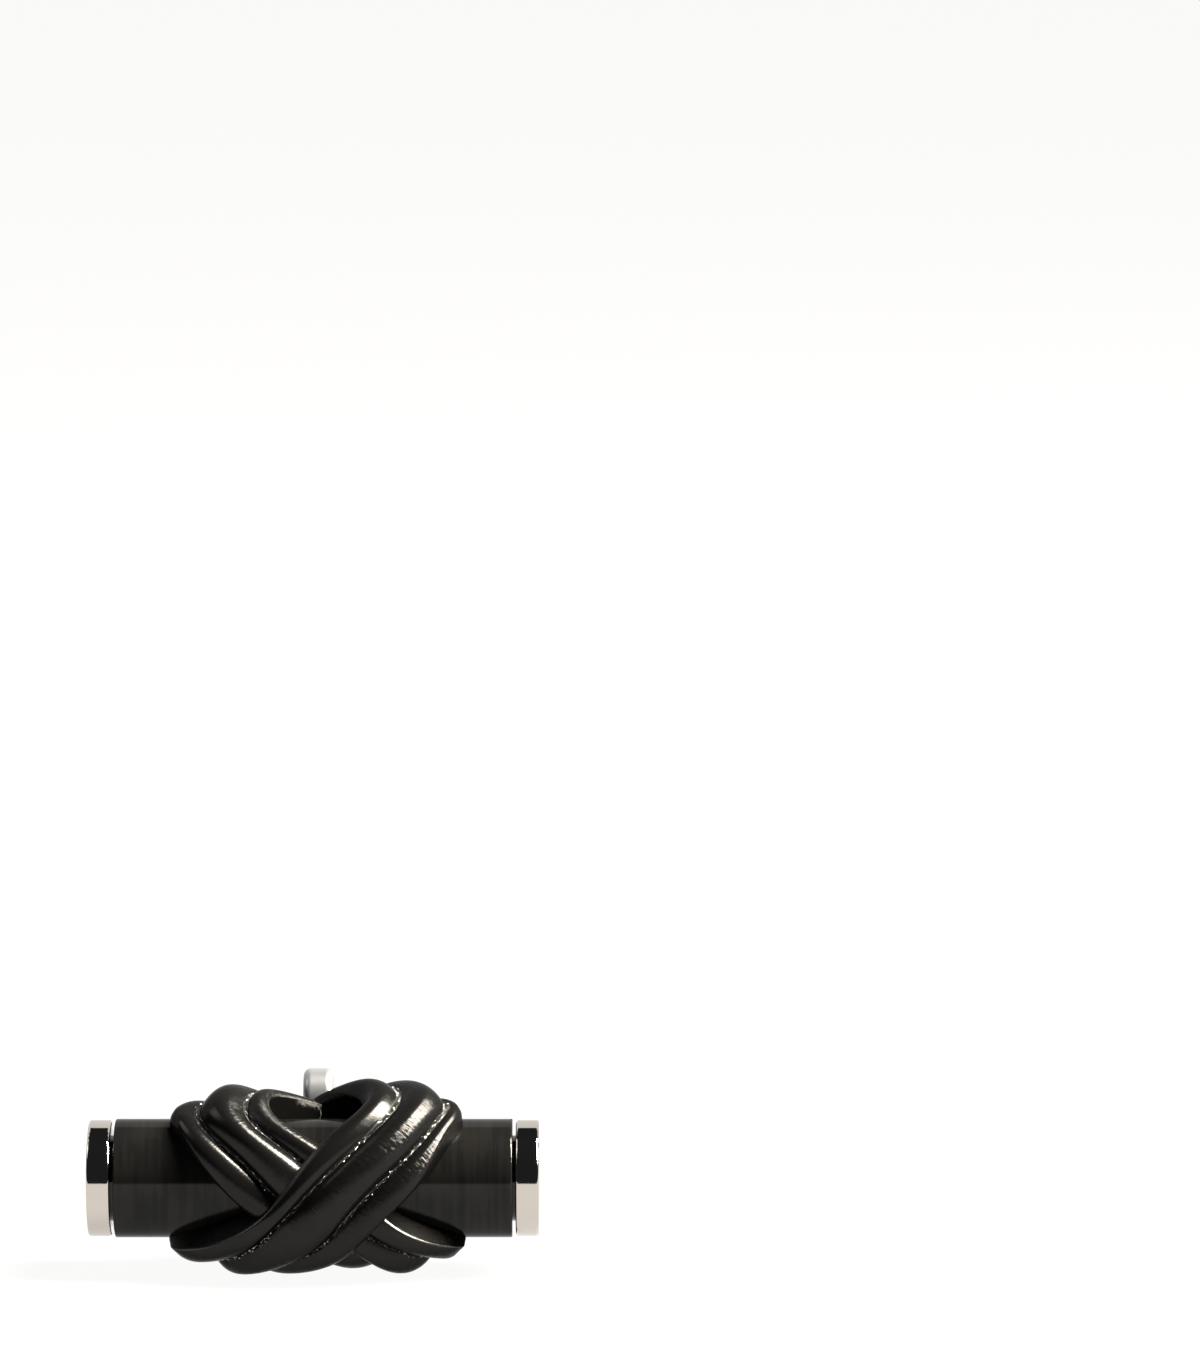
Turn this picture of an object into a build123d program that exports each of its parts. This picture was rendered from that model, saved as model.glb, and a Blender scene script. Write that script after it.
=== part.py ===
from build123d import *
import os
from math import cos, radians, sin, tan

# Knot cufflink, in millimetres.
# The bar lies along X, the knot faces -Y, the stem and its back bar stand behind it, and
# everything rests on the plane Z = 0.

# Bar and end caps
bar_diameter = 5.8
bar_length = 19.4
bar_edge_round = 0.08
cap_diameter = 5.7
cap_thickness = 1.25
cap_crown = 0.12
crown_flat_radius = 0.1
cap_edge_round = 0.14
cap_gap = 0.16
neck_diameter = 4.2
spigot_depth = 2.0
spigot_clearance = 0.04
bore_relief = 0.1

# Knot, whose middle lies a little to the right of the bar's
knot_length = 14.5
knot_shift = 0.1
band_height = 2.05
knot_clearance = 0.03
groove_depth = 0.55
low_side_share = 0.65
inner_wall_inset = 0.2
outer_wall_inset = 0.06
rising_outer_wall = 0.7
falling_outer_wall = 0.5
wall_root = 0.2
knot_pitch = 6.5
station_step = 15
station_overlap = 30
half_turn = 180

# Stem and back bar
stem_width = 1.5
stem_thickness = 1.2
stem_edge_round = 0.38
stem_gap = 0.12
stem_height = 4.55
stem_reach = 14.2
stem_front_bend = 0.8
stem_back_bend = 2.4
stem_foot_drop = 1.1
stem_droop = 2.6
peg_diameter = 0.9
peg_depth = 1.3
peg_clearance = 0.04
back_bar_diameter = 3.2
back_bar_length = 15.0
back_bar_round = 0.7

bar_radius = bar_diameter / 2
cap_radius = cap_diameter / 2
neck_radius = neck_diameter / 2
knot_bore = bar_radius + knot_clearance
knot_radius = knot_bore + band_height

# Each band is a ring that leans across the bar. A row is one place round the ring, with the
# angle up from the front. The first four columns are places along the bar, as shares of half
# the knot's length: left foot, first groove, second groove, right foot. The next three are the
# crests of the left, middle and right rib, as shares of the band's height. The last is the
# height of the steep wall on the side of the heart-shaped opening, as a share of its rib's.
rising_band = (
    # angle, left foot, groove 1, groove 2, right foot, crest 1, crest 2, crest 3, wall
    (-90, -0.99, -0.70, -0.42, -0.11, 0.50, 0.85, 0.84, 0.35),
    (-60, -0.97, -0.565, -0.245, 0.10, 0.62, 0.89, 0.86, 0.50),
    (-30, -0.67, -0.35, 0.065, 0.33, 0.79, 0.96, 0.91, 0.88),
    (0, -0.295, -0.105, 0.30, 0.60, 0.91, 1.00, 0.91, 0.85),
    (30, -0.06, 0.21, 0.61, 0.82, 0.94, 0.99, 0.72, 0.85),
    (60, 0.22, 0.495, 0.81, 0.945, 0.95, 0.94, 0.52, 0.76),
    (90, 0.29, 0.55, 0.865, 0.98, 0.94, 0.87, 0.45, 0.55),
)
falling_band = (
    (-90, 0.10, 0.44, 0.79, 1.00, 0.72, 0.84, 0.50, 0.35),
    (-60, 0.00, 0.37, 0.65, 1.00, 0.72, 0.84, 0.52, 0.50),
    (-30, -0.28, 0.12, 0.39, 0.73, 0.69, 0.77, 0.71, 0.80),
    (0, -0.555, -0.22, 0.14, 0.41, 0.64, 0.72, 0.67, 0.74),
    (30, -0.785, -0.49, -0.10, 0.21, 0.55, 0.77, 0.67, 0.74),
    (60, -0.93, -0.74, -0.42, -0.18, 0.45, 0.81, 0.69, 0.76),
    (90, -0.975, -0.77, -0.45, -0.285, 0.40, 0.81, 0.71, 0.80),
)
# How far the top of each band's hidden half lies along the bar from a mirror image of its front
rising_back_shift = -0.11
falling_back_shift = 0.08

# Where the bar's axis lies: the knot's lowest crest and the back bar both touch Z = 0, and the
# whole cufflink is centred on Y = 0.
axis_height = knot_bore + band_height * rising_band[0][6]
axis_y = (knot_radius - stem_reach - back_bar_diameter / 2) / 2
bar_axis = Plane(origin=(0, axis_y, axis_height), x_dir=(0, 1, 0), z_dir=(1, 0, 0))


def station_plane(angle):
    """The plane through the bar's axis at an angle up from the knot's front."""
    turn = radians(angle - knot_pitch)
    return Plane(
        origin=(0, axis_y, axis_height),
        x_dir=(1, 0, 0),
        z_dir=(0, -sin(turn), -cos(turn)),
    )


def ring_rows(rows, shift):
    """The rows all round the ring: the hidden half mirrors the front, and its top moves along."""
    hidden = []
    for row in reversed(rows[1:-1]):
        move = shift * (1 + sin(radians(row[0]))) / 2
        hidden.append((180 - row[0],) + tuple(x + move for x in row[1:5]) + row[5:])
    return rows + tuple(hidden)


def row_at(ring, angle):
    """The row at any angle, on the smooth closed curve through the ring's evenly spaced rows."""
    weights = []
    for row in ring:
        turn = radians(angle - row[0])
        on_row = abs(sin(turn / 2)) < 1e-9
        weights.append(1 if on_row else sin(len(ring) * turn / 2) / (len(ring) * tan(turn / 2)))
    columns = list(zip(*ring))[1:]
    return (angle,) + tuple(sum(w * v for w, v in zip(weights, column)) for column in columns)


def valley(crest_a, crest_b):
    """The radius of a groove between two ribs, which follows the lower of the two more closely."""
    low, high = min(crest_a, crest_b), max(crest_a, crest_b)
    return knot_bore + (high + (low - high) * low_side_share) * band_height - groove_depth


def band_section(row, outer_wall, wall_on_left):
    """Three round ribs side by side, standing on the bar, at one place round the ring."""
    angle, left, first, second, right, crest_1, crest_2, crest_3, wall = row
    along = knot_length / 2
    left_inset, right_inset = inner_wall_inset * wall, outer_wall_inset
    left_wall, right_wall = wall, outer_wall
    if not wall_on_left:
        left_inset, right_inset = right_inset, left_inset
        left_wall, right_wall = right_wall, left_wall
    foot_1 = (knot_shift + left * along, knot_bore - wall_root)
    foot_2 = (knot_shift + right * along, knot_bore - wall_root)
    shoulder_1 = (foot_1[0] + left_inset, knot_bore + left_wall * crest_1 * band_height)
    shoulder_2 = (foot_2[0] - right_inset, knot_bore + right_wall * crest_3 * band_height)
    groove_1 = (knot_shift + first * along, valley(crest_1, crest_2))
    groove_2 = (knot_shift + second * along, valley(crest_2, crest_3))
    top_1 = ((shoulder_1[0] + groove_1[0]) / 2, knot_bore + crest_1 * band_height)
    top_2 = ((groove_1[0] + groove_2[0]) / 2, knot_bore + crest_2 * band_height)
    top_3 = ((groove_2[0] + shoulder_2[0]) / 2, knot_bore + crest_3 * band_height)
    with BuildSketch(station_plane(angle)) as section:
        with BuildLine():
            Polyline(shoulder_2, foot_2, foot_1, shoulder_1)
            ThreePointArc(shoulder_1, top_1, groove_1)
            ThreePointArc(groove_1, top_2, groove_2)
            ThreePointArc(groove_2, top_3, shoulder_2)
        make_face()
    return section.sketch


# The bar, with a blind bore in each end for a cap's spigot and a hole behind for the peg
with BuildPart() as bar:
    with BuildSketch(bar_axis):
        Circle(bar_radius)
    extrude(amount=bar_length / 2, both=True)
    fillet(bar.edges().filter_by(GeomType.CIRCLE), bar_edge_round)
    for side in (-1, 1):
        with BuildSketch(bar_axis.offset(side * bar_length / 2)):
            Circle(neck_radius + spigot_clearance)
        extrude(amount=-side * (spigot_depth + bore_relief), mode=Mode.SUBTRACT)
    with BuildSketch(Plane.XZ.offset(-(axis_y + bar_radius - peg_depth - bore_relief))):
        with Locations((0, axis_height)):
            Circle(peg_diameter / 2 + peg_clearance)
    extrude(amount=-bar_radius, mode=Mode.SUBTRACT)
bar.part.label = "bar"

# The polished end caps: a slightly domed disc with a tiny flat in its middle, a narrower neck and
# the spigot in the bar
end_caps = {}
for name, side in (("end_cap_left", -1), ("end_cap_right", 1)):
    spigot_end = bar_length / 2 - spigot_depth
    disc_back = bar_length / 2 + cap_gap
    disc_face = disc_back + cap_thickness - cap_crown
    with BuildPart() as end_cap:
        cap_plane = Plane(origin=(0, axis_y, axis_height), x_dir=(side, 0, 0), z_dir=(0, -side, 0))
        with BuildSketch(cap_plane) as cap_profile:
            with BuildLine():
                Polyline(
                    (disc_face + cap_crown, crown_flat_radius),
                    (disc_face + cap_crown, 0),
                    (spigot_end, 0),
                    (spigot_end, neck_radius),
                    (disc_back, neck_radius),
                    (disc_back, cap_radius),
                    (disc_face, cap_radius),
                )
                RadiusArc(
                    (disc_face, cap_radius),
                    (disc_face + cap_crown, crown_flat_radius),
                    (cap_radius ** 2 + cap_crown ** 2) / (2 * cap_crown),
                )
            make_face()
            fillet(cap_profile.vertices().group_by(Axis.Y)[-1], cap_edge_round)
        revolve(axis=Axis((0, axis_y, axis_height), (1, 0, 0)))
    end_cap.part.label = name
    end_caps[name] = end_cap

# The knot: two bands of three ribs, cast as one piece, with a clear bore for the bar. Each band
# is made in two halves, before and behind a plane through the bar's axis.
facing = radians(knot_pitch)
seam_plane = Plane(
    origin=(0, axis_y, axis_height),
    x_dir=(1, 0, 0),
    z_dir=(0, -cos(facing), -sin(facing)),
)
with BuildPart() as knot:
    for rows, shift, outer_wall, wall_on_left in (
        (rising_band, rising_back_shift, rising_outer_wall, True),
        (falling_band, falling_back_shift, falling_outer_wall, False),
    ):
        ring = ring_rows(rows, shift)
        for start, keep in ((-90, Keep.TOP), (90, Keep.BOTTOM)):
            # The ends run past the seam and are trimmed, so that the two halves meet smoothly
            last = start + half_turn + station_overlap
            angles = range(start - station_overlap, last + 1, station_step)
            sections = [
                band_section(row_at(ring, angle), outer_wall, wall_on_left) for angle in angles
            ]
            half = loft(sections, mode=Mode.PRIVATE)
            add(split(half, bisect_by=seam_plane, keep=keep, mode=Mode.PRIVATE))
    with BuildSketch(bar_axis):
        Circle(knot_bore)
    extrude(amount=knot_length, both=True, mode=Mode.SUBTRACT)
    with BuildSketch(Plane.XZ.offset(-axis_y)):
        with Locations((0, axis_height)):
            Circle(peg_diameter / 2 + peg_clearance)
    extrude(amount=-2 * knot_radius, mode=Mode.SUBTRACT)
knot.part.label = "knot"

# The stem rises behind the knot, bends over and arches down to the back bar. A peg at its foot
# runs through the back of the knot into the bar.
leg_y = axis_y + knot_radius + stem_gap + stem_thickness / 2
arch_height = axis_height + stem_height - stem_thickness / 2
back_bar_y = axis_y + stem_reach
back_bar_radius = back_bar_diameter / 2
with BuildPart() as stem:
    with BuildLine(Plane.YZ) as stem_path:
        FilletPolyline(
            (leg_y, axis_height - stem_foot_drop),
            (leg_y, arch_height),
            (back_bar_y - stem_thickness / 2, arch_height - stem_droop),
            (back_bar_y, back_bar_radius),
            radius=(stem_front_bend, stem_back_bend),
        )
    with BuildSketch(Plane(origin=stem_path.line @ 0, z_dir=stem_path.line % 0, x_dir=(1, 0, 0))):
        RectangleRounded(stem_width, stem_thickness, stem_edge_round)
    sweep(path=stem_path.line)
    with BuildSketch(Plane.YZ):
        with Locations((back_bar_y, back_bar_radius)):
            Circle(back_bar_radius)
    extrude(amount=back_bar_length / 2, both=True)
    along_bar = stem.edges().group_by(Axis.X)
    fillet(along_bar[0] + along_bar[-1], back_bar_round)
    with BuildSketch(Plane.XZ.offset(-(axis_y + bar_radius - peg_depth))):
        with Locations((0, axis_height)):
            Circle(peg_diameter / 2)
    extrude(amount=-(leg_y - axis_y - bar_radius + peg_depth))
stem.part.label = "stem"

os.makedirs("parts", exist_ok=True)
export_step(bar.part, "parts/bar.step")
export_step(end_caps["end_cap_left"].part, "parts/end_cap_left.step")
export_step(end_caps["end_cap_right"].part, "parts/end_cap_right.step")
export_step(knot.part, "parts/knot.step")
export_step(stem.part, "parts/stem.step")
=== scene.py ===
# %% [markdown]
# # A knot cufflink
# A round black bar with polished end caps is held by a cast knot: two bands of three ribs that
# cross in front of the bar. The solid frame is made elsewhere and only loaded here. This lesson
# dresses it: the knot gets a finer mesh with real grooves, and every metal gets its finish.

# %% Load the frame
import bmesh
import bpy
from math import cos, hypot, pi, radians, sin, tan
from mathutils import Matrix, Vector


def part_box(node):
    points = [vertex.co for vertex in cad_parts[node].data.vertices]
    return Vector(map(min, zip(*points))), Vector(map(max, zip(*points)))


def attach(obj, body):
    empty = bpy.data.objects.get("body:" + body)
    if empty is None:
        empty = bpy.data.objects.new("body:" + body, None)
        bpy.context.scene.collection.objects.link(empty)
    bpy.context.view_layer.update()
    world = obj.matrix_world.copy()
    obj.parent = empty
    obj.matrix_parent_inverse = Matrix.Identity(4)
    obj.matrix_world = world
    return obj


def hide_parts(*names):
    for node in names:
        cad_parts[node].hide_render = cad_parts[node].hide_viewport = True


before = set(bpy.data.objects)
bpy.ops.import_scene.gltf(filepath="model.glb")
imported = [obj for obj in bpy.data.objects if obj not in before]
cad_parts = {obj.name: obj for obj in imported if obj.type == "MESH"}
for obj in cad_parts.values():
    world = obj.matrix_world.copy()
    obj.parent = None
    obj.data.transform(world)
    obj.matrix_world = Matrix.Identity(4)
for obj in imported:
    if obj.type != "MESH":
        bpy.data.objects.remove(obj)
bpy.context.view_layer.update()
print("nodes:", sorted(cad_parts))

# %% [markdown]
# ## Lengths
# Small things are easier to think about in millimetres, and Blender's unit is the metre. One
# named value turns one into the other. The bar's axis is read from the frame, because both the
# knot and the camera are placed from it.

# %% The bar's axis
MM = 0.001
bar_low, bar_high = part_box("bar")
axis_y = (bar_low.y + bar_high.y) / 2 / MM
axis_z = (bar_low.z + bar_high.z) / 2 / MM
bar_radius = (bar_high.z - bar_low.z) / 2 / MM
print("bar axis at", round(axis_y, 3), round(axis_z, 3), "mm, radius", round(bar_radius, 3), "mm")

# %% [markdown]
# ## Camera
# The picture was taken from far away, a little above the table. The cufflink stands low and to
# the left in it, so the camera doesn't point at the cufflink: it looks level past its upper right,
# as in the picture, and no lens shift is needed. Its place is worked out from where the middle of
# the bar falls in the picture and from how many pixels a millimetre takes there.

# %% Camera
PICTURE = (1200, 1365)
BAR_MIDDLE = (314.3, 1178)
PIXELS_PER_MM = 20.45
CAMERA_DISTANCE = 372
CAMERA_TILT = radians(7.5)
SENSOR = 36

focus_pixels = PIXELS_PER_MM * CAMERA_DISTANCE
aside = (PICTURE[0] / 2 - BAR_MIDDLE[0]) / PIXELS_PER_MM
above = (BAR_MIDDLE[1] - PICTURE[1] / 2) / PIXELS_PER_MM
camera_data = bpy.data.cameras.new("camera")
camera_data.sensor_width = SENSOR
camera_data.lens = SENSOR * focus_pixels / max(PICTURE)
camera = bpy.data.objects.new("camera", camera_data)
camera.location = Vector((
    aside,
    axis_y + above * sin(CAMERA_TILT) - CAMERA_DISTANCE * cos(CAMERA_TILT),
    axis_z + above * cos(CAMERA_TILT) + CAMERA_DISTANCE * sin(CAMERA_TILT),
)) * MM
camera.rotation_euler = (pi / 2 - CAMERA_TILT, 0, 0)
bpy.context.scene.collection.objects.link(camera)
bpy.context.scene.camera = camera
print("lens", round(camera_data.lens, 1), "mm")

# %% [markdown]
# ## Node trees written as sums
# A finish is a small calculation: a noise here, a mask there, one taken from the other. Wiring
# that by hand takes many lines, so one small class stands for a wire. Python's own signs on it
# add the Math nodes, and its method `node` adds any other node.

# %% A wire that can be added and multiplied
def feed(socket, value):
    """Links an input socket to a wire, or sets it to a plain value."""
    if isinstance(value, Wire):
        value.tree.links.new(value.socket, socket)
    else:
        socket.default_value = value


class Wire:
    """An output socket in a node tree. Signs on it add Math nodes."""

    def __init__(self, tree, socket=None):
        self.tree = tree
        self.socket = socket

    def node(self, kind, settings=None, sockets=None, output=0):
        """Adds a node, with its settings first, then its sockets' values or links."""
        made = self.tree.nodes.new(kind)
        for name, value in (settings or {}).items():
            setattr(made, name, value)
        for name, value in (sockets or {}).items():
            feed(made.inputs[name], value)
        return Wire(self.tree, made.outputs[output] if len(made.outputs) else None)

    def math(self, operation, first, second=0.0):
        return self.node("ShaderNodeMath", {"operation": operation}, {0: first, 1: second})

    def __add__(self, other):
        return self.math("ADD", self, other)

    __radd__ = __add__

    def __sub__(self, other):
        return self.math("SUBTRACT", self, other)

    def __rsub__(self, other):
        return self.math("SUBTRACT", other, self)

    def __mul__(self, other):
        return self.math("MULTIPLY", self, other)

    __rmul__ = __mul__

    def __truediv__(self, other):
        return self.math("DIVIDE", self, other)

    def __pow__(self, other):
        return self.math("POWER", self, other)

    def within(self, low, high):
        """0 below low, 1 above high, and a soft step between."""
        settings = {"interpolation_type": "SMOOTHSTEP"}
        sockets = {"Value": self, "From Min": low, "From Max": high}
        return self.node("ShaderNodeMapRange", settings, sockets)


# %% [markdown]
# ### Noises and colours
# A noise gives each place a grey of its own. Stretched along one direction it becomes brush lines,
# and as it is it becomes a cloud of patches. Places are in millimetres, so a scale of 8 gives about
# eight patches to a millimetre. A Math node would turn a colour grey, so colours go through a Mix
# node.

# %% Places, noises and colours
def vector(wire, x, y, z=0.0):
    return wire.node("ShaderNodeCombineXYZ", {}, {"X": x, "Y": y, "Z": z})


def parts_of(wire):
    """The three numbers of a vector wire."""
    split = wire.node("ShaderNodeSeparateXYZ", {}, {0: wire}).socket.node
    return [Wire(wire.tree, socket) for socket in split.outputs]


def noise(wire, place, scale=1.0, detail=2.0, roughness=0.5):
    sockets = {"Vector": place, "Scale": scale, "Detail": detail, "Roughness": roughness}
    return wire.node("ShaderNodeTexNoise", {}, sockets)


def blend_colours(wire, share, first, second):
    """A colour between two, each of them a wire or three numbers."""
    mixed = wire.node("ShaderNodeMix", {"data_type": "RGBA"}, {0: share})
    made = mixed.socket.node
    for socket, colour in ((made.inputs[6], first), (made.inputs[7], second)):
        feed(socket, colour if isinstance(colour, Wire) else (*colour, 1.0))
    return Wire(wire.tree, made.outputs[2])


def object_place(start):
    """The place on the piece in millimetres, as three wires."""
    where = start.node("ShaderNodeTexCoord", output="Object")
    return [part / MM for part in parts_of(where)]


def from_axis(y, z):
    """How far a place is from the bar's axis."""
    return ((y - axis_y) ** 2 + (z - axis_z) ** 2) ** 0.5


# %% [markdown]
# ## A finish
# Every metal here is the same shader with other numbers. What is the same all over the piece is
# set on the shader itself, and what changes over it comes in as a wire. A black coat mirrors less
# at a flat angle than bare metal does, so its edge value is lower.

# %% Make a metal
def new_metal(name, metallic=1.0, edge=1.0):
    """A material with an empty metal shader, and a wire to start its tree from."""
    material = bpy.data.materials.new(name)
    material.use_nodes = True
    tree = material.node_tree
    tree.nodes.clear()
    start = Wire(tree)
    shader = start.node("ShaderNodeBsdfPrincipled", {}, {
        "Metallic": metallic,
        "Specular Tint": (edge, edge, edge, 1.0),
    })
    start.node("ShaderNodeOutputMaterial", {}, {"Surface": shader})
    return material, start, shader.socket.node


def set_finish(start, shader, colour, roughness, height=None, depth=0.0):
    """Wires colour, roughness and, through a bump, height in millimetres into the shader."""
    feed(shader.inputs["Base Color"], colour)
    feed(shader.inputs["Roughness"], roughness)
    if height is not None:
        sockets = {"Strength": 1.0, "Distance": depth * MM, "Height": height}
        feed(shader.inputs["Normal"], start.node("ShaderNodeBump", {}, sockets))


def tell_nodes(material):
    print(material.name, "is made of", len(material.node_tree.nodes), "nodes")


# %% [markdown]
# ## Polished end caps
# The caps are turned from a pale, slightly warm metal and polished. They mirror the white table
# and the dark room, and only a trace of the turning is left: very fine rings round the axis. A
# noise that changes with the distance from the axis, and not round it, draws them. The thin neck
# behind each disc is painted dark grey: painted shade in the gap between the disc and the bar.

# %% Cap material
CAP_SILVERS = ((0.60, 0.547, 0.492), (0.56, 0.512, 0.460))
# The neck's dark grey is painted shade.
NECK_PAINTED_SHADE = (0.03, 0.028, 0.026)
NECK_RADIUS = (2.3, 2.5)
NECK_END = (9.86, 9.90)
RING_DEPTH = 0.0006

polished_silver, start, shader = new_metal("polished_silver")
x, y, z = object_place(start)
radius = from_axis(y, z)
rings = noise(start, vector(start, x * 9, radius * 9), detail=3.0)
smears = noise(start, vector(start, x, y, z), scale=0.7, detail=3.0)
from_middle = start.math("ABSOLUTE", x)
# The neck between disc and bar is painted dark grey as painted shade in that gap.
neck_shade = (1 - radius.within(*NECK_RADIUS)) * (1 - from_middle.within(*NECK_END))
polish = blend_colours(start, smears, *CAP_SILVERS)
set_finish(
    start,
    shader,
    colour=blend_colours(start, neck_shade, polish, NECK_PAINTED_SHADE),
    roughness=0.035 + 0.05 * smears,
    height=rings,
    depth=RING_DEPTH,
)
tell_nodes(polished_silver)

# %% [markdown]
# ## The black bar
# The bar has a hard black coat over steel that was brushed while it turned, so its fine lines run
# round it. The lines are too small to see one by one. They show because they smear a lamp's
# reflection along the bar, and leave the table's edge sharp, as a bump that changes only along
# the bar does.

# %% Bar material
BAR_BLACKS = ((0.0145, 0.0145, 0.014), (0.0215, 0.020, 0.018))
BAR_PATCHES = (0.42, 0.58)
BAR_LINE_DEPTH = 0.0065

black_bar, start, shader = new_metal("black_bar", 0.78, 0.5)
x, y, z = object_place(start)
along_bar = vector(start, x * 20, y * 0.10, z * 0.10)
fine_lines = noise(start, along_bar, detail=3.0, roughness=0.7)
broad_lines = noise(start, vector(start, x * 3.6, y * 0.2, z * 0.2))
wear = noise(start, vector(start, x * 0.5, y * 0.5, z * 0.5), detail=3.0)
worn_patches = (wear * 0.5 + broad_lines * 0.5).within(*BAR_PATCHES)
set_finish(
    start,
    shader,
    colour=blend_colours(start, worn_patches, *BAR_BLACKS),
    roughness=0.07 + 0.05 * wear + 0.04 * broad_lines,
    height=fine_lines + 0.4 * broad_lines,
    depth=BAR_LINE_DEPTH,
)
tell_nodes(black_bar)

# %% [markdown]
# ## The stem
# The stem is pale metal like the caps, finished more softly with a fine belt: short lines along
# it and a satin gloss. A mirror finish there would show the black knot in front of it.

# %% Stem material
STEM_SILVERS = ((0.25, 0.254, 0.258), (0.24, 0.244, 0.248))
BELT_LINE_DEPTH = 0.003

stem_silver, start, shader = new_metal("stem_silver", 0.8)
x, y, z = object_place(start)
belt_lines = noise(start, vector(start, x * 14, y * 0.8, z * 0.8), detail=3.0)
patches = noise(start, vector(start, x, y, z), scale=1.3)
set_finish(
    start,
    shader,
    colour=blend_colours(start, patches, *STEM_SILVERS),
    roughness=0.30 + 0.05 * patches,
    height=belt_lines,
    depth=BELT_LINE_DEPTH,
)
tell_nodes(stem_silver)

# %% [markdown]
# ## The knot's satin black
# Each rib is brushed across, so the lines follow the rib's own direction, not the world's. The
# knot's mesh therefore carries a UV map in millimetres: along the band, and across it. The brush
# bit less on each band's first rib. The grooves were too narrow for it and keep the rough skin of
# the casting, and they are painted darker: painted shade in the creases. The steep walls are
# painted darker too, as painted shade. In front, the edge at the top of each steep wall is painted
# pale, a painted highlight, most of all high up round the heart-shaped opening. Marks on the mesh
# say where the grooves, the walls and the edges above the walls are.

# %% Knot material
KNOT_BLACKS = ((0.0245, 0.0235, 0.0222), (0.0175, 0.0168, 0.016))
# The groove and wall blacks below are painted shade, and the pale colour after them is a painted
# highlight along the rims.
GROOVE_SHADE_BLACK = (0.0075, 0.007, 0.0065)
WALL_SHADE_BLACK = (0.013, 0.012, 0.011)
RIM_HIGHLIGHT_PALE = (0.30, 0.29, 0.27)
GROOVE_SKIN = (0.0, 0.55)
HARD_BRUSHED = (3.6, 4.4)
RIM_HIGHLIGHT_FADE = (0.2, 0.9)
HEART_RISE = (-2.5, 0.5)
FRONT_HALF = (0.3, 1.5)
KNOT_BUMP_DEPTH = 0.038
HAIR_SLICE = 7.0
MARKS = ("groove", "wall", "near_rim")

black_knot, start, shader = new_metal("black_knot", 0.88, 0.35)
x, y, z = object_place(start)
groove, wall, near_rim = [
    start.node("ShaderNodeAttribute", {"attribute_name": label}, output="Fac")
    for label in MARKS
]
uv = start.node("ShaderNodeUVMap", {"uv_map": "UVMap"})
along, across, _ = parts_of(uv)
strokes = noise(start, vector(start, along * 5, across * 0.5), detail=3.0, roughness=0.7)
hairs = noise(start, vector(start, along * 12, across * 0.9, HAIR_SLICE), roughness=0.6)
skin = noise(start, vector(start, x, y, z), scale=8.0, detail=4.0, roughness=0.75)
cloud = noise(start, vector(start, x, y, z), scale=0.8, detail=3.0)
rough = groove.within(*GROOVE_SKIN)
firmly = 0.5 + 0.9 * across.within(*HARD_BRUSHED)
brushed = firmly * (strokes * 0.5 + hairs * 0.55) * (1 - rough) * (1 - wall)
satin = blend_colours(start, cloud, *KNOT_BLACKS)
# The grooves are painted darker: painted shade in the creases.
with_groove_shade = blend_colours(start, rough, satin, GROOVE_SHADE_BLACK)
# The steep walls are painted darker: painted shade.
with_wall_shade = blend_colours(start, wall, with_groove_shade, WALL_SHADE_BLACK)
in_heart = (z - axis_z).within(*HEART_RISE)
in_front = (axis_y - y).within(*FRONT_HALF)
# A pale colour along the rim above each steep wall, in front only: a painted highlight.
rim_highlight = near_rim * near_rim.within(*RIM_HIGHLIGHT_FADE) * in_front * (0.25 + 0.45 * in_heart)
set_finish(
    start,
    shader,
    colour=blend_colours(start, rim_highlight, with_wall_shade, RIM_HIGHLIGHT_PALE),
    roughness=0.13 + 0.08 * cloud + 0.08 * hairs + 0.10 * rough + 0.10 * wall + 0.15 * near_rim,
    height=brushed + 2.4 * skin * rough + 0.8 * skin * wall,
    depth=KNOT_BUMP_DEPTH,
)
tell_nodes(black_knot)

# %% [markdown]
# ### Painted shade in the recesses
# The brush doesn't reach the steep walls. At the foot of the steep walls inside the heart and at
# the right, a second, dull black shader takes over through a Mix Shader: painted shade, which
# mirrors nothing. Its mask stops at a ragged line some way up the wall, and leaves out a patch in
# the middle, where the metal shader stays.

# %% Painted shade at the foot of the walls
# This dull black is painted shade.
RECESS_SHADE_BLACK = (0.0012, 0.0011, 0.001)
RIGHT_WALL = (2.0, 3.0)
RIGHT_SHARE = 0.88
SHADE_TOP = (3.95, 4.1)
SHADE_RAGGED = 0.9
UNSHADED_LEFT = (-1.0, -0.6)
UNSHADED_RIGHT = (0.2, 0.3)
UNSHADED_FROM = (4.1, 4.35)

shaded = start.math("MAXIMUM", in_heart, RIGHT_SHARE * x.within(*RIGHT_WALL))
radius = from_axis(y, z)
deep = 1 - (radius + SHADE_RAGGED * (skin - 0.5)).within(*SHADE_TOP)
between_sides = x.within(*UNSHADED_LEFT) * (1 - x.within(*UNSHADED_RIGHT))
unshaded = between_sides * (radius + skin).within(*UNSHADED_FROM)
# A dull black shader, mixed in as painted shade at the foot of the walls.
shade_shader = start.node("ShaderNodeBsdfPrincipled", {}, {
    "Base Color": (*RECESS_SHADE_BLACK, 1.0),
    "Roughness": 0.9,
    "Specular IOR Level": 0.0,
})
mixed = start.node("ShaderNodeMixShader", {}, {
    0: wall * shaded * deep * (1 - unshaded),
    1: Wire(start.tree, shader.outputs[0]),
    2: shade_shader,
})
output = next(node for node in start.tree.nodes if node.type == "OUTPUT_MATERIAL")
feed(output.inputs["Surface"], mixed)
tell_nodes(black_knot)

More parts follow.
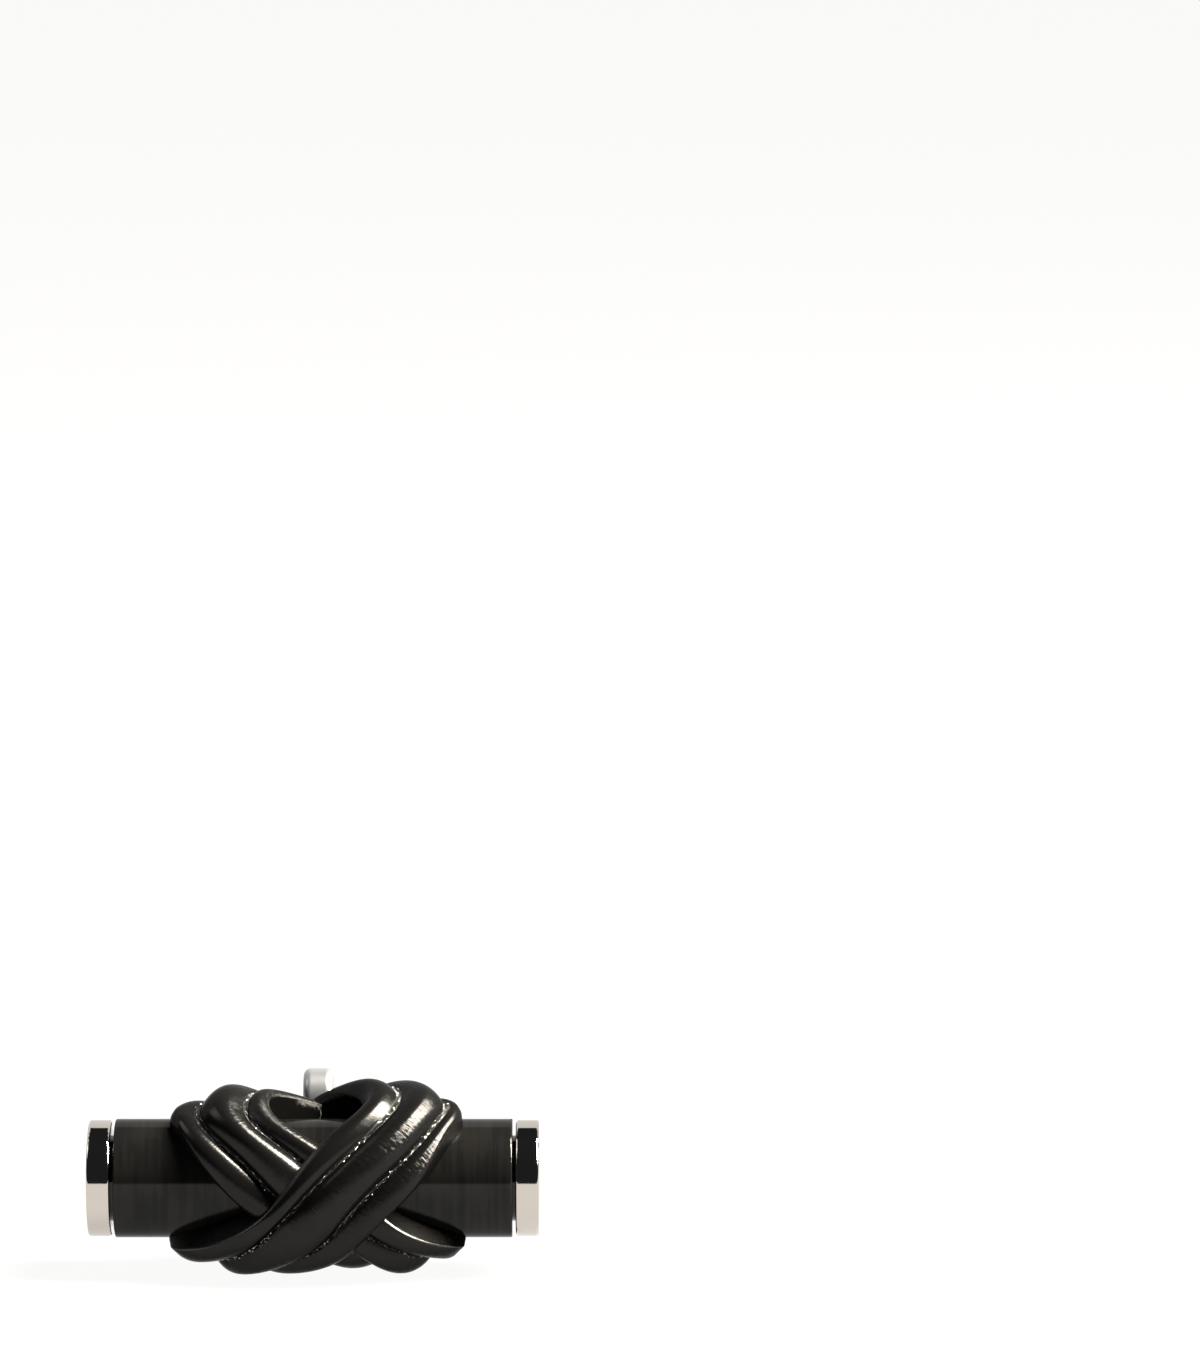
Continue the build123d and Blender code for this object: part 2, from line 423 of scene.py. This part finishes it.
# %% [markdown]
# ### Grains
# The grains in the grooves are bare metal with some soot on it. Each catches the lamp in its own
# way: a noise as fine as the distance between them makes one grain pale and the next one dark.

# %% Grain material
GRAIN_COLOURS = ((0.75, 0.73, 0.70), (0.06, 0.057, 0.053))
GRAIN_TINT = (0.4, 0.6)
GRAIN_ROUGHNESS = 0.26

cast_grain, start, shader = new_metal("cast_grain")
x, y, z = object_place(start)
tint = noise(start, vector(start, x, y, z), scale=9.0).within(*GRAIN_TINT)
set_finish(start, shader, blend_colours(start, tint, *GRAIN_COLOURS), GRAIN_ROUGHNESS)
tell_nodes(cast_grain)

# %% [markdown]
# ## Dress the frame's own pieces
# The bar, the caps and the stem already have their right shapes, so they only take their finishes.

# %% Give the pieces their finishes
for name, material in (
    ("bar", black_bar),
    ("end_cap_left", polished_silver),
    ("end_cap_right", polished_silver),
    ("stem", stem_silver),
):
    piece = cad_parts[name]
    for material_slot in piece.material_slots:
        material_slot.material = material
    print(name, "takes", material.name, "in", len(piece.material_slots), "slot")

# %% [markdown]
# ## The knot's two bands
# Each band is a closed ring that leans across the bar. A table says what it is like at a few
# places round the bar, and a smooth closed curve through the rows gives every place between.
# One band passes over the other in front.

# %% The bands' tables
KNOT_LENGTH = 14.5
KNOT_SHIFT = 0.1
BAND_HEIGHT = 2.05
KNOT_BORE = bar_radius + 0.03
GROOVE_DEPTH = 0.55
LOW_SIDE_SHARE = 0.65
INNER_WALL_INSET = 0.2
OUTER_WALL_INSET = 0.06
KNOT_PITCH = 6.5

rising_band = (
    # angle, left foot, groove 1, groove 2, right foot, crest 1, crest 2, crest 3, wall
    (-90, -0.99, -0.70, -0.42, -0.11, 0.50, 0.85, 0.84, 0.35),
    (-60, -0.97, -0.565, -0.245, 0.10, 0.62, 0.89, 0.86, 0.50),
    (-30, -0.67, -0.35, 0.065, 0.33, 0.79, 0.96, 0.91, 0.88),
    (0, -0.295, -0.105, 0.30, 0.60, 0.91, 1.00, 0.91, 0.85),
    (30, -0.06, 0.21, 0.61, 0.82, 0.94, 0.99, 0.72, 0.85),
    (60, 0.22, 0.495, 0.81, 0.945, 0.95, 0.94, 0.52, 0.76),
    (90, 0.29, 0.55, 0.865, 0.98, 0.94, 0.87, 0.45, 0.55),
)
falling_band = (
    (-90, 0.10, 0.44, 0.79, 1.00, 0.72, 0.84, 0.50, 0.35),
    (-60, 0.00, 0.37, 0.65, 1.00, 0.72, 0.84, 0.52, 0.50),
    (-30, -0.28, 0.12, 0.39, 0.73, 0.69, 0.77, 0.71, 0.80),
    (0, -0.555, -0.22, 0.14, 0.41, 0.64, 0.72, 0.67, 0.74),
    (30, -0.785, -0.49, -0.10, 0.21, 0.55, 0.77, 0.67, 0.74),
    (60, -0.93, -0.74, -0.42, -0.18, 0.45, 0.81, 0.69, 0.76),
    (90, -0.975, -0.77, -0.45, -0.285, 0.40, 0.81, 0.71, 0.80),
)
BANDS = (
    # name, rows, shift behind, outer wall as a share of its rib's crest, wall on the left
    ("rising", rising_band, -0.11, 0.7, True),
    ("falling", falling_band, 0.08, 0.5, False),
)
print("rows in a band's table:", len(rising_band), len(falling_band))

# %% [markdown]
# ### From a table to outlines
# At one place round the bar, a band is three round ribs side by side on a foot, with a steep wall
# towards the heart-shaped opening and a low one on the other side. The outline is a list of
# points, each with its place along the bar and its height from the axis. Three marks go with each
# point: how deep in a groove it lies, whether it is on the steep wall, and how near it is to the
# edge above that wall, where the painted highlight goes.

# %% Rows between rows
def ring_rows(rows, shift):
    """The rows all round the ring: the hidden half mirrors the front, and its top moves along."""
    hidden = []
    for row in reversed(rows[1:-1]):
        move = shift * (1 + sin(radians(row[0]))) / 2
        hidden.append((180 - row[0],) + tuple(x + move for x in row[1:5]) + row[5:])
    return rows + tuple(hidden)


def row_at(ring, angle):
    """The row at any angle, on the smooth closed curve through the ring's evenly spaced rows."""
    weights = []
    for row in ring:
        turn = radians(angle - row[0])
        on_row = abs(sin(turn / 2)) < 1e-9
        weights.append(1 if on_row else sin(len(ring) * turn / 2) / (len(ring) * tan(turn / 2)))
    columns = list(zip(*ring))[1:]
    return [sum(w * v for w, v in zip(weights, column)) for column in columns]


print("rows all round a band:", len(ring_rows(rising_band, 0.0)))

# %% [markdown]
# ### Ribs
# A rib's top is round like a wire's, but its sides fall more steeply into a groove than a
# parabola would. It is therefore a parabola mixed with a fuller curve. The points lie closer
# together near a rib's two ends, where it turns most.

# %% Points over a rib
RIB_POINTS = 24
RIB_FULLNESS = 2.2
FULL_SHARE = 0.45
EVEN_SHARE = 0.35


def between(first, last, share):
    return (first[0] + (last[0] - first[0]) * share, first[1] + (last[1] - first[1]) * share)


def rib_point(first, last, crest, edges, share):
    """A place on a rib, which falls from its crest in the middle, and more steeply into a groove."""
    side = 2 * share - 1
    base, edge = (first[1], edges[0]) if side < 0 else (last[1], edges[1])
    bulge = 1 - side ** 2
    if edge == "groove":
        full = (1 - abs(side) ** RIB_FULLNESS) ** (1 / RIB_FULLNESS)
        bulge += (full - bulge) * FULL_SHARE
    return (first[0] + (last[0] - first[0]) * share, base + (crest - base) * bulge)


def rib_points(first, last, crest, edges, start, stop):
    """Points over a rib from one share of its width to another, closer together near its ends."""
    points = []
    for i in range(RIB_POINTS + 1):
        even = i / RIB_POINTS
        share = EVEN_SHARE * even + (1 - EVEN_SHARE) * (1 - cos(pi * even)) / 2
        points.append(rib_point(first, last, crest, edges, start + (stop - start) * share))
    return points


print("points over a rib:", len(rib_points((0, 0), (1, 0), 1, ("groove", "edge"), 0, 1)))

# %% [markdown]
# ### Walls and edges
# A wall is straight, and its upper edge is rounded by hand work: only a little over a full wall,
# and more where the wall gets low and melts into its rib. The bottom of a groove follows the
# lower of its two ribs more than the higher one.

# %% Points along walls and edges
WALL_POINTS = 6
EDGE_POINTS = 5


def rounded_edge(before, corner, after):
    """Points on a small curve round a corner, without its two ends."""
    points = []
    for i in range(1, EDGE_POINTS):
        share = i / EDGE_POINTS
        points.append(between(between(before, corner, share), between(corner, after, share), share))
    return points


def straight_points(first, last, count):
    return [between(first, last, i / count) for i in range(count + 1)]


def valley(crest_a, crest_b):
    """The radius of a groove between two ribs, which follows the lower of the two more closely."""
    low, high = min(crest_a, crest_b), max(crest_a, crest_b)
    return KNOT_BORE + (high + (low - high) * LOW_SIDE_SHARE) * BAND_HEIGHT - GROOVE_DEPTH


print("groove between crests of 1.0 and 0.9:", round(valley(1.0, 0.9), 3), "mm from the axis")

# %% [markdown]
# ### One outline
# Both feet, the shoulders above them, the grooves and the crests come from one row of the table.
# The steep wall is on the left of one band and on the right of the other, so the values that
# differ between the two sides are put in order first.

# %% The outline at one place
EDGE_ROUND = 0.11
LOW_EDGE_ROUND = 0.8
FULL_WALL = 0.85
OUTER_EDGE_ROUND = 0.2
LARGEST_SKIP = 0.25
INNER_EDGE_DROP = 0.1
OUTER_EDGE_DROP = 0.3
GROOVE_REACH = (0.27, 0.38)
RIM_REACH = 0.13


def point_marks(points, grooves, inner_edge, wall_on_left, groove_reach):
    """For each point, its groove, wall and worn marks, from 0 to 1."""
    marks = []
    for i, (x, r) in enumerate(points):
        depth = min(hypot(x - g[0], r - g[1]) for g in grooves)
        from_edge = hypot(x - inner_edge[0], r - inner_edge[1])
        on_wall = i <= WALL_POINTS if wall_on_left else i >= len(points) - WALL_POINTS - 2
        marks.append((
            max(0.0, 1 - depth / groove_reach),
            1.0 if on_wall else 0.0,
            max(0.0, 1 - from_edge / RIM_REACH),
        ))
    return marks


def band_outline(row, outer_wall, wall_on_left, groove_reach):
    """The closed outline at one place round the bar from the left foot, and each point's marks."""
    left, first, second, right, crest_1, crest_2, crest_3, wall = row
    half = KNOT_LENGTH / 2
    insets = (INNER_WALL_INSET * wall, OUTER_WALL_INSET)
    walls = (wall, outer_wall)
    rounds = (EDGE_ROUND + LOW_EDGE_ROUND * max(0.0, FULL_WALL - wall), OUTER_EDGE_ROUND)
    drops = (INNER_EDGE_DROP, OUTER_EDGE_DROP)
    edges = ("edge", "groove")
    if not wall_on_left:
        insets, walls, rounds = insets[::-1], walls[::-1], rounds[::-1]
        drops, edges = drops[::-1], edges[::-1]
    foot_1 = (KNOT_SHIFT + left * half, KNOT_BORE)
    foot_2 = (KNOT_SHIFT + right * half, KNOT_BORE)
    shoulder_1 = (foot_1[0] + insets[0], KNOT_BORE + walls[0] * crest_1 * BAND_HEIGHT)
    shoulder_2 = (foot_2[0] - insets[1], KNOT_BORE + walls[1] * crest_3 * BAND_HEIGHT)
    groove_1 = (KNOT_SHIFT + first * half, valley(crest_1, crest_2))
    groove_2 = (KNOT_SHIFT + second * half, valley(crest_2, crest_3))
    tops = [KNOT_BORE + crest * BAND_HEIGHT for crest in (crest_1, crest_2, crest_3)]
    skip_1 = min(LARGEST_SKIP, rounds[0] / (groove_1[0] - shoulder_1[0]))
    skip_2 = min(LARGEST_SKIP, rounds[1] / (shoulder_2[0] - groove_2[0]))
    rib_1 = rib_points(shoulder_1, groove_1, tops[0], (edges[0], "groove"), skip_1, 1)
    rib_2 = rib_points(groove_1, groove_2, tops[1], ("groove", "groove"), 0, 1)
    rib_3 = rib_points(groove_2, shoulder_2, tops[2], ("groove", edges[1]), 0, 1 - skip_2)
    wall_1 = straight_points(foot_1, between(shoulder_1, foot_1, drops[0]), WALL_POINTS)
    wall_2 = straight_points(between(shoulder_2, foot_2, drops[1]), foot_2, WALL_POINTS)
    points = (
        wall_1
        + rounded_edge(wall_1[-1], shoulder_1, rib_1[0])
        + rib_1
        + rib_2[1:]
        + rib_3[1:]
        + rounded_edge(rib_3[-1], shoulder_2, wall_2[0])
        + wall_2
        + [between(foot_2, foot_1, 0.5)]
    )
    inner_edge = shoulder_1 if wall_on_left else shoulder_2
    grooves = (groove_1, groove_2)
    return points, point_marks(points, grooves, inner_edge, wall_on_left, groove_reach)


_, rows, _, outer_wall, wall_on_left = BANDS[0]
sample, _ = band_outline(rows[len(rows) // 2][1:], outer_wall, wall_on_left, GROOVE_REACH[0])
print("points in an outline:", len(sample))

# %% [markdown]
# ### A loft in Geometry Nodes
# The outlines stand round the bar like the ribs of a boat, and a skin has to follow them. A grid
# with one column of points for each outline does that: the tree takes a flat grid, moves each of
# its points to the outline point with the same number, keeps how far along and across it is as
# the UV map, and welds the last column to the first. Every tree here starts with named inputs and
# ends by making its instances real, because the export would drop them.

# %% Start, end and run a tree
def new_tree(name, inputs):
    """A Geometry Nodes tree with named inputs, and a wire for each of them."""
    tree = bpy.data.node_groups.new(name, "GeometryNodeTree")
    for label, kind in inputs:
        tree.interface.new_socket(label, in_out="INPUT", socket_type=kind)
    tree.interface.new_socket("Geometry", in_out="OUTPUT", socket_type="NodeSocketGeometry")
    entry = tree.nodes.new("NodeGroupInput")
    return tree, [Wire(tree, socket) for socket in entry.outputs[: len(inputs)]]


def finish_tree(shape, finish):
    """Ends a tree: instances are made real and take the material."""
    real = shape.node("GeometryNodeRealizeInstances", {}, {0: shape})
    coloured = shape.node("GeometryNodeSetMaterial", {}, {"Geometry": real, "Material": finish})
    shape.node("NodeGroupOutput", {}, {0: coloured})


def run_tree(tree, mesh, values, name):
    """Runs a tree on a mesh and returns the result as a plain mesh."""
    host = bpy.data.objects.new(name, mesh)
    bpy.context.scene.collection.objects.link(host)
    modifier = host.modifiers.new(tree.name, "NODES")
    modifier.node_group = tree
    for item in tree.interface.items_tree:
        if item.in_out == "INPUT" and item.name in values:
            modifier[item.identifier] = values[item.name]
    evaluated = host.evaluated_get(bpy.context.evaluated_depsgraph_get())
    result = bpy.data.meshes.new_from_object(evaluated)
    bpy.data.objects.remove(host)
    result.name = name
    return result


# %% [markdown]
# ### The loft's own tree
# A face corner isn't numbered like the point under it. So the UV map's values are first stored on
# the points as the rail, and only read from there for the corners.

# %% The loft tree
loft_tree, (outlines, columns, points_each, weld, finish) = new_tree("loft through outlines", (
    ("Outlines", "NodeSocketGeometry"),
    ("Outline count", "NodeSocketInt"),
    ("Points each", "NodeSocketInt"),
    ("Weld distance", "NodeSocketFloat"),
    ("Finish", "NodeSocketMaterial"),
))
number = outlines.node("GeometryNodeInputIndex")
place = outlines.node("GeometryNodeInputPosition")


def named(wire, name, kind):
    """A wire with a named value of each point."""
    return wire.node("GeometryNodeInputNamedAttribute", {"data_type": kind}, {"Name": name})


def from_outline(value, kind):
    """The value that the outline point with the same number has."""
    sockets = {"Geometry": outlines, "Value": value, "Index": number}
    return outlines.node("GeometryNodeSampleIndex", {"data_type": kind}, sockets)


def stored(sheet, name, value, settings):
    """The sheet, with a value kept under a name."""
    sockets = {"Geometry": sheet, "Name": name, "Value": value}
    return sheet.node("GeometryNodeStoreNamedAttribute", settings, sockets)


grid = outlines.node("GeometryNodeMeshGrid", {}, {"Vertices X": columns, "Vertices Y": points_each})
sheet = outlines.node("GeometryNodeSetPosition", {}, {
    "Geometry": grid,
    "Position": from_outline(place, "FLOAT_VECTOR"),
})
for label in MARKS:
    mark = from_outline(named(outlines, label, "FLOAT"), "FLOAT")
    sheet = stored(sheet, label, mark, {"data_type": "FLOAT"})
rail = from_outline(named(outlines, "rail", "FLOAT_VECTOR"), "FLOAT_VECTOR")
sheet = stored(sheet, "rail", rail, {"data_type": "FLOAT_VECTOR"})
rail = named(outlines, "rail", "FLOAT_VECTOR")
sheet = stored(sheet, "UVMap", rail, {"data_type": "FLOAT2", "domain": "CORNER"})
welded = outlines.node("GeometryNodeMergeByDistance", {}, {"Geometry": sheet, "Distance": weld})
smooth = outlines.node("GeometryNodeSetShadeSmooth", {}, {"Geometry": welded})
finish_tree(smooth, finish)
print(loft_tree.name, "has", len(loft_tree.nodes), "nodes")

# %% [markdown]
# ### Stand the outlines up and run the loft
# Each outline lies in a plane through the bar's axis. The last one repeats the first, so that the
# UV map runs on to the end of the band and doesn't fold back there. The grooves are wider on top
# of the knot, so their mark reaches further there.

# %% Stand a band's outlines up
STATIONS = 440


def outline_mesh(name, rows, shift, outer_wall, wall_on_left):
    """All of a band's outline points, with their place along and across the band."""
    ring = ring_rows(rows, shift)
    outlines = []
    for station in range(STATIONS + 1):
        angle = -90 + 360 * station / STATIONS
        raised = max(0.0, sin(radians(angle))) ** 2
        reach = GROOVE_REACH[0] + (GROOVE_REACH[1] - GROOVE_REACH[0]) * raised
        row = row_at(ring, angle)
        outlines.append((angle, *band_outline(row, outer_wall, wall_on_left, reach)))
    each = len(outlines[0][1])
    middles = [points[each // 2] for angle, points, marks in outlines]
    places, all_marks, rails = [], [], []
    travelled = 0.0
    for station, (angle, points, marks) in enumerate(outlines):
        turn = radians(angle - KNOT_PITCH)
        middle = middles[station]
        ahead, behind = middles[(station + 1) % STATIONS], middles[(station - 1) % STATIONS]
        round_step = 2 * pi * middle[1] / STATIONS
        sideways = (ahead[0] - behind[0]) / 2
        step = hypot(round_step, sideways)
        wide = 0.0
        last = points[0]
        for i, (x, r) in enumerate(points + points[:1]):
            wide += hypot(x - last[0], r - last[1])
            last = (x, r)
            places.append((x * MM, (axis_y - r * cos(turn)) * MM, (axis_z + r * sin(turn)) * MM))
            all_marks.append(marks[i % each])
            rails.append((travelled + (x - middle[0]) * sideways / step, wide, 0.0))
        travelled += step
    mesh = bpy.data.meshes.new(name)
    mesh.from_pydata(places, [], [])
    for column, label in enumerate(MARKS):
        values = [marks[column] for marks in all_marks]
        mesh.attributes.new(label, "FLOAT", "POINT").data.foreach_set("value", values)
    flat = [number for rail in rails for number in rail]
    mesh.attributes.new("rail", "FLOAT_VECTOR", "POINT").data.foreach_set("vector", flat)
    return mesh, each + 1


print("outlines round a band:", STATIONS)

# %% Make the bands
WELD_DISTANCE = 0.0005

band_objects = []
for name, rows, shift, outer_wall, wall_on_left in BANDS:
    lines, each = outline_mesh(name + "_outlines", rows, shift, outer_wall, wall_on_left)
    band = run_tree(loft_tree, lines, {
        "Outline count": STATIONS + 1,
        "Points each": each,
        "Weld distance": WELD_DISTANCE * MM,
        "Finish": black_knot,
    }, name + "_band")
    shell = bmesh.new()
    shell.from_mesh(band)
    bmesh.ops.recalc_face_normals(shell, faces=shell.faces)
    open_edges = sum(1 for edge in shell.edges if not edge.is_manifold)
    volume = shell.calc_volume(signed=True) / MM ** 3
    shell.to_mesh(band)
    shell.free()
    band.attributes.remove(band.attributes["rail"])
    band_object = bpy.data.objects.new(name + "_band", band)
    bpy.context.scene.collection.objects.link(band_object)
    band_objects.append(band_object)
    print(name, "band:", len(band.polygons), "faces, open edges", open_edges, "volume", round(volume, 1))

# %% [markdown]
# ### One casting
# On the real knot the bands are one casting. The two shells lie through each other where they
# cross, so they are united into one skin, without the faces that would be hidden inside it.

# %% Unite the bands
def combine(base, other, operation):
    """Unites other with base, or cuts it away, and deletes it."""
    modifier = base.modifiers.new("combine", "BOOLEAN")
    modifier.operation = operation
    modifier.solver = "MANIFOLD"
    modifier.object = other
    evaluated = base.evaluated_get(bpy.context.evaluated_depsgraph_get())
    base.data = bpy.data.meshes.new_from_object(evaluated)
    base.modifiers.clear()
    bpy.data.objects.remove(other)


def triangle_count(mesh):
    return sum(len(face.vertices) - 2 for face in mesh.polygons)


knot, falling = band_objects
combine(knot, falling, "UNION")
print("one skin:", triangle_count(knot.data), "triangles")

# %% [markdown]
# ### The peg's hole
# The stem is held by a thin peg that goes through the back of the knot. Its hole is drilled with a
# cylinder that is taken away from the skin. After that only the real edges are marked sharp, so
# that all the rest shades smoothly, and the piece takes the place of the frame's plain knot.

# %% Drill the peg's hole
HOLE_RADIUS = 0.49
HOLE_SIDES = 48
HOLE_DEPTH = 8
SHARP_ANGLE = 48

drill_mesh = bpy.data.meshes.new("drill")
drill_place = Matrix.Translation(Vector((0, axis_y + HOLE_DEPTH / 2, axis_z)) * MM)
shell = bmesh.new()
bmesh.ops.create_cone(
    shell,
    cap_ends=True,
    segments=HOLE_SIDES,
    radius1=HOLE_RADIUS * MM,
    radius2=HOLE_RADIUS * MM,
    depth=HOLE_DEPTH * MM,
    matrix=drill_place @ Matrix.Rotation(pi / 2, 4, "X"),
)
shell.to_mesh(drill_mesh)
shell.free()
drill = bpy.data.objects.new("drill", drill_mesh)
bpy.context.scene.collection.objects.link(drill)
combine(knot, drill, "DIFFERENCE")
knot.name = "knot_bands"
knot.data.name = "knot_bands"
knot.data.set_sharp_from_angle(angle=radians(SHARP_ANGLE))
print("knot:", triangle_count(knot.data), "triangles", [a.name for a in knot.data.attributes])

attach(knot, "root")
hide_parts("knot")

# %% [markdown]
# ### Grains in the grooves
# The casting's skin left tiny round grains along the grooves, and each of them catches a point of
# light. There are thousands, so a tree scatters them: half of them all over a groove's sides, and
# half only at its bottom. Each has its own size, is stretched and turned in its own way, and is a
# ball of only twenty faces, half sunk.

# %% The grains' tree
GROOVE_SIDES = (0.15, 0.4)
GROOVE_BOTTOM = (0.5, 0.8)
LEAST_STRETCH = (0.5, 0.5, 0.5)
MOST_STRETCH = (2.0, 1.1, 1.1)

grain_tree, (skin_mesh, density, smallest, largest, seed, finish) = new_tree("grains in grooves", (
    ("Skin", "NodeSocketGeometry"),
    ("Density", "NodeSocketFloat"),
    ("Smallest", "NodeSocketFloat"),
    ("Largest", "NodeSocketFloat"),
    ("Seed", "NodeSocketInt"),
    ("Finish", "NodeSocketMaterial"),
))
in_groove = named(skin_mesh, "groove", "FLOAT")
spread = 0.5 * in_groove.within(*GROOVE_SIDES) + 0.5 * in_groove.within(*GROOVE_BOTTOM)
grain_points = skin_mesh.node("GeometryNodeDistributePointsOnFaces", {}, {
    "Mesh": skin_mesh,
    "Density": density * spread,
    "Seed": seed,
})
ball = skin_mesh.node("GeometryNodeMeshIcoSphere", {}, {"Radius": 1.0, "Subdivisions": 1})
own_size = skin_mesh.node("FunctionNodeRandomValue", {"data_type": "FLOAT"}, {
    2: smallest,
    3: largest,
    "Seed": seed,
}, output=1)
own_turn = skin_mesh.node("FunctionNodeRandomValue", {"data_type": "FLOAT_VECTOR"}, {
    0: (0.0, 0.0, 0.0),
    1: (2 * pi, 2 * pi, 2 * pi),
    "Seed": seed,
})
stretch = skin_mesh.node("FunctionNodeRandomValue", {"data_type": "FLOAT_VECTOR"}, {
    0: LEAST_STRETCH,
    1: MOST_STRETCH,
    "Seed": seed,
})
own_shape = skin_mesh.node("ShaderNodeVectorMath", {"operation": "SCALE"}, {
    0: stretch,
    "Scale": own_size,
})
grains = skin_mesh.node("GeometryNodeInstanceOnPoints", {}, {
    "Points": grain_points,
    "Instance": ball,
    "Rotation": own_turn,
    "Scale": own_shape,
})
finish_tree(grains, finish)
print(grain_tree.name, "has", len(grain_tree.nodes), "nodes")

# %% Scatter the grains
GRAIN_SEED = 11
GRAINS_PER_MM2 = 130
GRAIN_RADII = (0.013, 0.044)
BALL_FACES = 20

grain_mesh = run_tree(grain_tree, knot.data.copy(), {
    "Density": GRAINS_PER_MM2 / MM ** 2,
    "Smallest": GRAIN_RADII[0] * MM,
    "Largest": GRAIN_RADII[1] * MM,
    "Seed": GRAIN_SEED,
    "Finish": cast_grain,
}, "groove_grains")
groove_grains = bpy.data.objects.new("groove_grains", grain_mesh)
bpy.context.scene.collection.objects.link(groove_grains)
print("grains:", triangle_count(grain_mesh) // BALL_FACES)
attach(groove_grains, "root")

# %% [markdown]
# ## The table
# The table is plain white, with hardly a shadow on it. A surface that glows by itself looks like
# that without any lamp that would also shine on the metal, and the metal mirrors its white. It lies
# a hair under the cufflink, so that the two never share a plane.

# %% Floor
FLOOR_SIZE = 3000
FLOOR_DROP = 0.01
FLOOR_FINISH = (
    ("Base Color", (0.02, 0.02, 0.02, 1.0)),
    ("Roughness", 0.9),
    ("Specular IOR Level", 0.0),
    ("Emission Color", (1.0, 0.995, 0.99, 1.0)),
    ("Emission Strength", 0.95),
)

floor_mesh = bpy.data.meshes.new("floor")
corner = FLOOR_SIZE / 2 * MM
under = -FLOOR_DROP * MM
corners = [(-corner, -corner), (corner, -corner), (corner, corner), (-corner, corner)]
floor_mesh.from_pydata([(x, y, under) for x, y in corners], [], [(0, 1, 2, 3)])
floor = bpy.data.objects.new("floor", floor_mesh)
bpy.context.scene.collection.objects.link(floor)
white_table, start, shader = new_metal("white_table", 0.0)
for label, value in FLOOR_FINISH:
    feed(shader.inputs[label], value)
floor_mesh.materials.append(white_table)
print("table:", FLOOR_SIZE, "mm square")

# %% [markdown]
# ## The studio's walls
# Behind the table stands a white wall, and the rest of the room is dark: that is what gives the
# polished caps their sharp bands. Walls made of planes would need lamps of their own, so the room
# is drawn on the world's sky instead, from the direction that a ray leaves in. The camera itself
# sees only white behind the table.

# %% Studio walls
WALL_TOP = tan(radians(51))
WALL_TOP_BLUR = 0.02
WALL_SIDE = 2.2
WALL_SIDE_BLUR = 0.4
LEAST_DEPTH = 0.02
WALL_WHITE = (0.95, 0.95, 0.94)
ROOM_DARK = (0.018, 0.020, 0.0225)
SEEN_WHITE = (1.0, 1.0, 1.0)

world = bpy.data.worlds.new("studio")
bpy.context.scene.world = world
world.use_nodes = True
world.node_tree.nodes.clear()
start = Wire(world.node_tree)
x, y, z = parts_of(start.node("ShaderNodeTexCoord", output="Generated"))
away = start.math("MAXIMUM", y, LEAST_DEPTH)
behind = start.math("GREATER_THAN", y, LEAST_DEPTH)
rise = z / away
sideways = start.math("ABSOLUTE", x) / away
under_top = 1 - rise.within(WALL_TOP - WALL_TOP_BLUR, WALL_TOP + WALL_TOP_BLUR)
inside = 1 - sideways.within(WALL_SIDE - WALL_SIDE_BLUR, WALL_SIDE + WALL_SIDE_BLUR)
wall = behind * under_top * inside
seen = start.node("ShaderNodeLightPath", output="Is Camera Ray")
room = blend_colours(start, wall, ROOM_DARK, WALL_WHITE)
shown = blend_colours(start, seen, room, SEEN_WHITE)
glow = start.node("ShaderNodeBackground", {}, {"Color": shown, "Strength": 1.0})
start.node("ShaderNodeOutputWorld", {}, {"Surface": glow})
print("the room is made of", len(world.node_tree.nodes), "nodes")

# %% [markdown]
# ## Lamps
# One strong, slightly warm lamp stands high at the right. It draws the streak along each rib and
# the points of light in the grooves. A much weaker one at the left only lifts the darkest sides.
# Both are large panels, because a small lamp would leave dots where the real metal has streaks.

# %% Lamps
LAMPS = (
    # name, turn to the right, height above the table, distance, width, length, glow, colour
    ("key_lamp", 85, 47, 500, 190, 440, 135, (1.0, 0.96, 0.88)),
    ("left_lamp", -95, 40, 500, 220, 220, 2.5, (0.95, 0.97, 1.0)),
)
for name, turn, height, distance, width, length, glow, colour in LAMPS:
    lamp_data = bpy.data.lights.new(name, "AREA")
    lamp_data.shape = "RECTANGLE"
    lamp_data.size = width * MM
    lamp_data.size_y = length * MM
    lamp_data.energy = glow * pi * width * length * MM ** 2
    lamp_data.color = colour
    lamp = bpy.data.objects.new(name, lamp_data)
    out = Vector((
        sin(radians(turn)) * cos(radians(height)),
        -cos(radians(turn)) * cos(radians(height)),
        sin(radians(height)),
    ))
    lamp.location = Vector((0, axis_y, axis_z)) * MM + out * distance * MM
    lamp.rotation_euler = out.to_track_quat("Z", "Y").to_euler()
    bpy.context.scene.collection.objects.link(lamp)
    print(name, "is", width, "by", length, "mm and gives", round(lamp_data.energy, 2), "W")

bpy.context.scene.view_settings.view_transform = "Standard"
